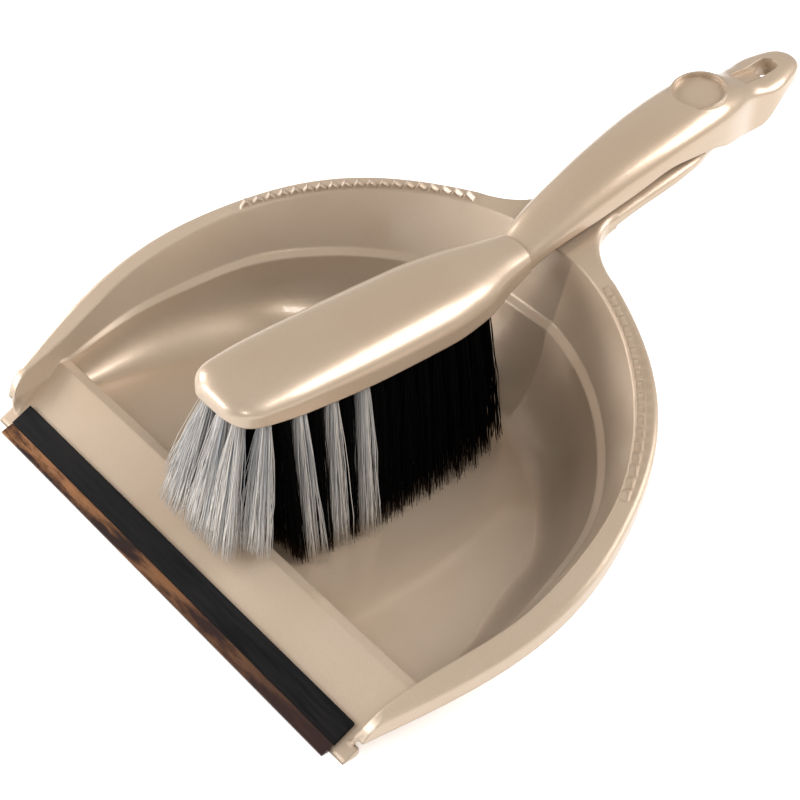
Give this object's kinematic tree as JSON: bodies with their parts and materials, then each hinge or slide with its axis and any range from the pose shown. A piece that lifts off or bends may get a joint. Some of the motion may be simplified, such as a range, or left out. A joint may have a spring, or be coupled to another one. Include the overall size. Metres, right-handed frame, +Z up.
{
  "type": "dust pan and brush set",
  "caption": "Pearl silver dustpan with rubber front lip and cleaning combs on its rim, holding a hand brush with black and white bristles over its handle.",
  "frame": {"origin": "centre of the set's footprint on the table it stands on", "axes": "+Y from the pan's front lip to the handle tips, +Z up, X across the pan, X = 0 the plane of symmetry"},
  "size_m": [0.2512, 0.3256, 0.1081],
  "materials": {
    "silver_pan": "pearl gloss",
    "silver_brush": "pearl gloss",
    "black_lip": "satin",
    "brown_blade": "glossy",
    "dark_block": "matte",
    "white_bristle": "satin filament",
    "black_bristle": "satin filament",
    "staple_wire": "drawn wire"
  },
  "bodies": {
    "pan": {"pan_body": "silver_pan", "lip_channel": "black_lip", "lip_blade": "brown_blade"},
    "brush": {"brush_head": "silver_brush", "tuft_block": "dark_block", "brush_handle": "silver_brush", "tuft_anchors": "staple_wire", "white_tufts_row_01": "white_bristle", "white_tufts_row_02": "white_bristle", "black_tufts_row_02": "black_bristle", "black_tufts_row_03": "black_bristle", "white_tufts_row_04": "white_bristle", "black_tufts_row_05": "black_bristle", "white_tufts_row_06": "white_bristle", "black_tufts_row_07": "black_bristle", "white_tufts_row_08": "white_bristle", "black_tufts_row_09": "black_bristle", "black_tufts_row_10": "black_bristle", "black_tufts_row_11": "black_bristle", "black_tufts_row_12": "black_bristle", "black_tufts_row_13": "black_bristle", "black_tufts_row_14": "black_bristle", "black_tufts_row_15": "black_bristle", "black_tufts_row_16": "black_bristle", "black_tufts_row_17": "black_bristle"}
  },
  "joints": [
    {"name": "brush_lift", "type": "slide", "parent": "pan", "child": "brush", "axis": [0, 0, 1], "range_m": [0, 0.12]}
  ]
}
